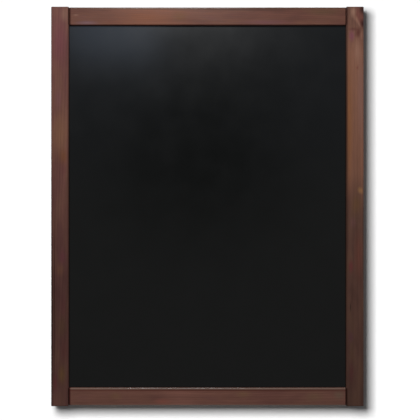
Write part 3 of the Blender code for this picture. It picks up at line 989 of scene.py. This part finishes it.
# %% Bend the wire
only()
bpy.ops.mesh.primitive_circle_add(
    vertices=WIRE_SIDES, radius=wire / 2, fill_type="NGON",
    location=ring_axis + Vector((SEAM, 0, 0)), rotation=(0, math.pi / 2, 0),
)
ring = start("hanger_ring_left_wire")
edit(ring)
bpy.ops.mesh.select_all(action="SELECT")
for way, (pivot_x, pivot_z), angle, steps in (
    ((straight, 0, 0), (half_width - CORNER, CORNER), 90, 10),
    ((0, 0, rise), (0, side_height), 180, 40),
    ((0, 0, -rise), (CORNER - half_width, CORNER), 90, 10),
):
    extrude(way)
    pivot = ring_axis + Vector((pivot_x, 0, pivot_z))
    bpy.ops.mesh.spin(steps=steps, angle=math.radians(angle), center=pivot, axis=(0, 1, 0))
extrude((straight, 0, 0))
pick("edges", lambda edge: is_sharp(edge) and edge.verts[0].co.z < ring_axis.z + wire)
bpy.ops.mesh.bevel(offset=SEAM_CHAMFER, segments=2, affect="EDGES")
close_edit()
smooth(ring)
print("ring faces:", len(ring.data.polygons))

# %% [markdown]
# ## The screws
#
# These are pan-head wood screws, 3.5 mm thick and 13 mm long. The head starts as a short cylinder:
# its upper rim gets a large bevel, which makes the pan, and its underside is inset and extruded into
# the shank. A thread is a ridge that climbs one pitch a turn. So the shank is cut into many rings, and
# each point is moved in or out by a rule on its height and angle. The cross recess is cut with two
# wedges at right angles, narrow at the bottom as a driver's tip is.

# %% Sizes of the head, the thread and the recess
HEAD_HEIGHT = 2.1 * MM
PAN_ROUND = 1.25 * MM
SHANK_SIDES = 32
SHANK_RINGS = 84
THREAD_PITCH = 1.35 * MM
THREAD_DEPTH = 0.5 * MM
THREAD_LAND = 0.24
POINT_LENGTH = 3 * MM
POINT_SHARE = 0.06
RECESS_SPAN = 3.8 * MM
RECESS_SLOT = 0.9 * MM
RECESS_DEPTH = 1.3 * MM
RECESS_TAPER = {RECESS_SPAN: 0.45, RECESS_SLOT: 0.7}        # what is left of each side at the bottom
screw_low, screw_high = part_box("hanger_screw_left_upper")
screw_axis = middle_of(screw_low, screw_high)
head_width = screw_high.x - screw_low.x
head_seat = screw_high.y - HEAD_HEIGHT
shank_length = head_seat - screw_low.y
print("head, and shank in mm:", in_mm((head_width, shank_length)))

# %% Shape the head and the shank
head_middle = Vector((screw_axis.x, head_seat + HEAD_HEIGHT / 2, screw_axis.z))
screw = rod(
    "hanger_screw_left_upper_threaded", head_middle, head_width / 2, HEAD_HEIGHT, "Y", SHANK_SIDES
)
edit(screw)
pick("faces", lambda face: face.normal.y < -FACING)
bpy.ops.mesh.inset(thickness=(head_width - SCREW_SHANK) / 2)
extrude((0, -shank_length, 0))
pick("edges", lambda edge: edge_run(edge, 1) > 2 * HEAD_HEIGHT)
bpy.ops.mesh.subdivide(number_cuts=SHANK_RINGS)
pick("edges", lambda edge: min(vert.co.y for vert in edge.verts) > screw_high.y - HAIR)
bpy.ops.mesh.bevel(offset=PAN_ROUND, segments=8, affect="EDGES")
close_edit()


# %% Turn the thread
def thread_radius(depth, angle):
    """How far from the axis the shank's surface lies, at a depth below the head."""
    turn = (depth / THREAD_PITCH + angle / math.tau) % 1
    ridge = max(0.0, 1 - abs(turn - 0.5) / THREAD_LAND)
    taper = min(1.0, max(POINT_SHARE, (shank_length - depth) / POINT_LENGTH))
    root = SCREW_SHANK / 2 - THREAD_DEPTH
    return (root + THREAD_DEPTH * ridge) * taper


for vert in screw.data.vertices:
    depth = head_seat - vert.co.y
    if depth > HAIR:
        spot = Vector((screw_axis.x, vert.co.y, screw_axis.z))
        out = vert.co - spot
        vert.co = spot + out.normalized() * thread_radius(depth, math.atan2(out.z, out.x))
print("thread turns:", round(shank_length / THREAD_PITCH, 1))

# %% Cut the cross recess
for slot in ((RECESS_SPAN, RECESS_SLOT), (RECESS_SLOT, RECESS_SPAN)):
    half = Vector((slot[0] / 2, (RECESS_DEPTH + OVERRUN) / 2, slot[1] / 2))
    spot = Vector((screw_axis.x, screw_high.y - RECESS_DEPTH + half.y, screw_axis.z))
    wedge = start_box("driver", spot - half, spot + half)
    edit(wedge)
    pick("faces", lambda face: face.normal.y < -FACING)
    taper_x, taper_z = (RECESS_TAPER[side] for side in slot)
    bpy.ops.transform.resize(value=(taper_x, 1, taper_z), center_override=spot)
    close_edit()
    cut_out(screw, wedge)
smooth(screw)

# %% Copy the hanger's pieces to where they belong
register_all(strap, "hanger_strap_left", "hanger_strap", zinc_strip)
register_all(ring, "hanger_ring_left", "hanger_ring", zinc_wire)
register_all(screw, "hanger_screw_left_upper", "hanger_screw", zinc_screw)

# %% [markdown]
# ## The rubber bumpers
#
# Two moulded bumpers hold the foot of the frame off the wall, as far as the hangers hold its top.
# Each is a low cone with a round rim and a shallow dish in its face, which grips by suction. It is a
# cylinder whose outer face is scaled in, bevelled, inset and sunk. The rubber is a dull black with a
# faint, cloudy bloom.

# %% Moulded rubber
rubber = pressed(
    "moulded_black_rubber", {"Specular IOR Level": 0.35}, [(0.35, "191919"), (0.7, "2A2A29")],
    (0.62, 0.8), (5 * MM, 3.0), 0.3 * MM, 0.03 * MM, 0.6,
)

# %% Model a bumper and copy it
BUMPER_DRAFT = 0.6 * MM
BUMPER_ROUND = 1 * MM
DISH_RIM = 1.6 * MM
DISH_DEPTH = 0.25 * MM
low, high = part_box("bumper_left")
radius = (high.x - low.x) / 2
draft = (radius - BUMPER_DRAFT) / radius
bumper = rod("bumper_left_rubber", middle_of(low, high), radius, high.y - low.y, "Y", 64)
edit(bumper)
pick("faces", lambda face: face.normal.y > FACING)
bpy.ops.transform.resize(value=(draft, 1, draft), center_override=middle_of(low, high))
pick("edges", lambda edge: min(vert.co.y for vert in edge.verts) > high.y - HAIR)
bpy.ops.mesh.bevel(offset=BUMPER_ROUND, segments=8, affect="EDGES")
pick("faces", lambda face: face.normal.y > FACING and face.calc_area() > DISH_RIM ** 2)
bpy.ops.mesh.inset(thickness=DISH_RIM, depth=0.0)
bpy.ops.mesh.inset(thickness=2 * DISH_DEPTH, depth=-DISH_DEPTH)
close_edit()
smooth(bumper)
register_all(bumper, "bumper_left", "bumper", rubber)

# %% [markdown]
# ## The camera
#
# The photograph is square on. The frame's edges in it give the scale: so many pixels for 704 mm. From
# that follow how much the picture takes in and where its centre lies on the board. The camera stands
# 1.4 m off, which shows in the inner sides of the frame, just visible at top and bottom. From so near,
# each outer edge is seen half a millimetre inside its true place, on the round of its arris.

# %% Set the camera by the edges of the frame
IMAGE_SIDE = 420
LEFT_EDGE_PIXEL = 51.2
RIGHT_EDGE_PIXEL = 363.7
TOP_EDGE_PIXEL = 6.7
CAMERA_DISTANCE = 1.4
SENSOR = 36.0
EDGE_LOSS = Vector((0.5, 0, 0.6)) * MM
low, high = cad_box[0] + EDGE_LOSS, cad_box[1] - EDGE_LOSS
per_pixel = (high.x - low.x) / (RIGHT_EDGE_PIXEL - LEFT_EDGE_PIXEL)
aim_x = low.x + (IMAGE_SIDE / 2 - LEFT_EDGE_PIXEL) * per_pixel
aim_z = high.z - (IMAGE_SIDE / 2 - TOP_EDGE_PIXEL) * per_pixel
lens = bpy.data.cameras.new("camera")
lens.sensor_width = SENSOR
lens.lens = SENSOR * CAMERA_DISTANCE / (per_pixel * IMAGE_SIDE)
camera = bpy.data.objects.new("camera", lens)
camera.location = (aim_x, cad_box[0].y - CAMERA_DISTANCE, aim_z)
camera.rotation_euler = (math.radians(90), 0, 0)
bpy.context.scene.collection.objects.link(camera)
bpy.context.scene.camera = camera
print("millimetres a pixel:", in_mm([per_pixel], 4), "lens:", round(lens.lens, 1))

# %% [markdown]
# ## The wall and the floor
#
# A wall behind the board and a floor well below it are the whole stage. Both are matt white paint.
# They are one-sided: seen from behind they let the camera through, so the back of the board can be
# looked at too. The Geometry node's Backfacing output tells the two sides apart.

# %% Build the stage
STAGE_SIDE = 8.0
WALL_GAP = 0.5 * MM
FLOOR_DROP = 1.6
WALL_ALBEDO = 0.85
paint, shader = start_material("white_wall_paint", {
    "Base Color": (WALL_ALBEDO, WALL_ALBEDO, WALL_ALBEDO, 1), "Roughness": 0.9, "Specular IOR Level": 0.1,
})
behind = add("NewGeometry").outputs["Backfacing"]
one_sided = add("MixShader", {0: behind, 1: shader, 2: add("BsdfTransparent")})
feed(tree.nodes["Material Output"], {"Surface": one_sided})
stage = []
for name, place, turn in (
    ("wall", (0, WALL_GAP, 0), (math.radians(90), 0, 0)),
    ("floor", (0, 0, -FLOOR_DROP), (0, 0, 0)),
):
    only()
    bpy.ops.mesh.primitive_plane_add(size=STAGE_SIDE, location=place, rotation=turn)
    plane = start(name)
    plane.data.materials.append(paint)
    plane.visible_shadow = False
    plane.visible_glossy = False
    stage.append(plane)
floor = stage[1]
floor.visible_diffuse = False

# %% [markdown]
# ## Light
#
# Two softboxes make the picture. A large one, near and to the upper left, keeps the wall white and
# gives the board its soft shadow. The other one, above, lights the board itself: its sheen runs down
# the upper part of the black panel, and a small card adds its bluish part. A third softbox shows the
# back. It is larger than the board, so that bright metal mirrors it broadly and never glares.
#
# Light linking goes by collections: a lamp includes or excludes the pieces in one. A lamp's light
# thins out with distance, which a few nodes undo for the wall lamp, so the wall is evenly white.

# %% Light the wall
WALL_LAMP_PLACE = Vector((-0.62, -0.95, 0.22))
WALL_LAMP_SIZE = (1.08, 1.04)
AMBIENT = 0.08
WALL_LEVEL = 0.98


def add_lamp(name, kind, place, target, pieces, state, **settings):
    """A lamp that shines from a place towards a target, on some pieces or on all but them."""
    data = bpy.data.lights.new(name, kind)
    for setting, value in settings.items():
        setattr(data, setting, value)
    lamp = bpy.data.objects.new(name, data)
    lamp.location = place
    lamp.rotation_euler = (Vector(target) - Vector(place)).to_track_quat("-Z", "Y").to_euler()
    lamp.visible_camera = False
    bpy.context.scene.collection.objects.link(lamp)
    group = bpy.data.collections.new(name + "_link")
    for piece in pieces:
        group.objects.link(piece)
    for member in group.collection_objects:
        member.light_linking.link_state = state
    lamp.light_linking.receiver_collection = group
    return lamp


power = math.pi ** 2 * WALL_LEVEL / WALL_ALBEDO / WALL_LAMP_PLACE.y ** 2
wall_lamp = add_lamp(
    "wall_lamp", "AREA", WALL_LAMP_PLACE, WALL_LAMP_PLACE * Vector((1, 0, 1)), stage, "INCLUDE",
    shape="RECTANGLE", size=WALL_LAMP_SIZE[0], size_y=WALL_LAMP_SIZE[1], energy=power,
)
open_tree(wall_lamp.data)
even = add("LightFalloff", {"Strength": 1.0}).outputs["Constant"]
distance = add("LightPath").outputs["Ray Length"]
for step in range(2):
    even = add("Math", {0: even, 1: distance}, operation="MULTIPLY")
feed(tree.nodes["Emission"], {"Strength": even})
print("wall lamp in watts:", round(power, 1))

# %% Light the board
SOFTBOX_PLACE = Vector((-0.15, -1.1, 0.95))
SOFTBOX_SIDE = 0.6
CARD_PLACE = Vector((-0.374, -1.0, 0.343))
CARD_SIZE = (0.34, 0.225)
BACK_PLACE = Vector((0.0, 1.1, -0.35))
BACK_SIDE = 1.5
FLOOR_SUN_SPREAD = math.radians(40)
add_lamp(
    "softbox", "AREA", SOFTBOX_PLACE, (0.0, 0.0, -0.35), stage, "EXCLUDE",
    shape="RECTANGLE", size=SOFTBOX_SIDE, size_y=SOFTBOX_SIDE, energy=38.0, color=(0.97, 0.98, 1.0),
)
add_lamp(
    "bounce_card", "AREA", CARD_PLACE, (-0.15, 0, 0), [writing_sheet], "INCLUDE",
    shape="RECTANGLE", size=CARD_SIZE[0], size_y=CARD_SIZE[1], energy=0.205, color=(0.6, 0.76, 1.05),
)
add_lamp(
    "back_softbox", "AREA", BACK_PLACE, (0, 0, BACK_PLACE.z), stage, "EXCLUDE",
    shape="SQUARE", size=BACK_SIDE, energy=8.0,
)
add_lamp(
    "floor_light", "SUN", (0, 0, 2), (0, 0, 0), [floor], "INCLUDE", energy=3.3, angle=FLOOR_SUN_SPREAD
)
print("lamps:", sorted(lamp.name for lamp in bpy.data.lights))

# %% [markdown]
# ## The studio around
#
# The world is a dim grey studio: it fills the shadows a little and is what the satin panel reflects.
# It is darkest straight behind the camera, a little above it, and slightly cool higher up, as from
# windows under the ceiling. The camera sees it as white. Reflections on the wall's side see a pale
# backdrop, which gives the metal on the back its brightness.

# %% What the world reflects
ROOM_SHEEN = 0.205
DARK_SIDE = Vector((-0.02, 0, 0.12))
DARK_SIDE_REACH = 0.25
BACKDROP_SHEEN = 0.35
BACKDROP_REACH = 0.3
world = bpy.data.worlds.new("studio")
bpy.context.scene.world = world
open_tree(world)
ray = add("LightPath").outputs
way = add("TexCoord").outputs["Generated"]
direction = add("SeparateXYZ", {0: way}).outputs
flat = add("VectorMath", {0: way, 1: (1, 0, 1)}, operation="MULTIPLY")
off_dark = add("VectorMath", {0: flat, 1: DARK_SIDE}, operation="DISTANCE")
dimmed = {"Value": off_dark, 2: DARK_SIDE_REACH, 4: ROOM_SHEEN}
sheen = add("MapRange", dimmed, interpolation_type="SMOOTHSTEP")
reflected = add("MapRange", {"Value": direction["Y"], 2: BACKDROP_REACH, 3: sheen, 4: BACKDROP_SHEEN})

# %% The world's level and colour for each kind of ray
COOL_LIGHT = (0.95, 1.0, 1.17, 1)
COOL_HEIGHT = 0.16
mirrored = add("Math", {0: ray["Is Glossy Ray"], 1: ray["Is Transmission Ray"]}, operation="MAXIMUM")
level = add("Mix", {"Factor": mirrored, "A": AMBIENT, "B": reflected})
level = add("Math", {0: level, 1: ray["Is Camera Ray"]}, operation="MAXIMUM")
high_up = {"Value": direction["Z"], 2: COOL_HEIGHT}
cool = add("MapRange", high_up, interpolation_type="SMOOTHSTEP")
cool = add("Math", {0: cool, 1: mirrored}, operation="MULTIPLY")
tint = add("Mix", {"Factor": cool, "A": (1, 1, 1, 1), "B": COOL_LIGHT}, data_type="RGBA")
feed(tree.nodes["Background"], {"Strength": level, "Color": tint})
bpy.context.scene.view_settings.view_transform = "Standard"

# %% [markdown]
# ## Finish
#
# The dressed board must be as large as the construction model. The last step brings the view layer up to
# date.

# %% Update the view layer
bpy.context.view_layer.update()
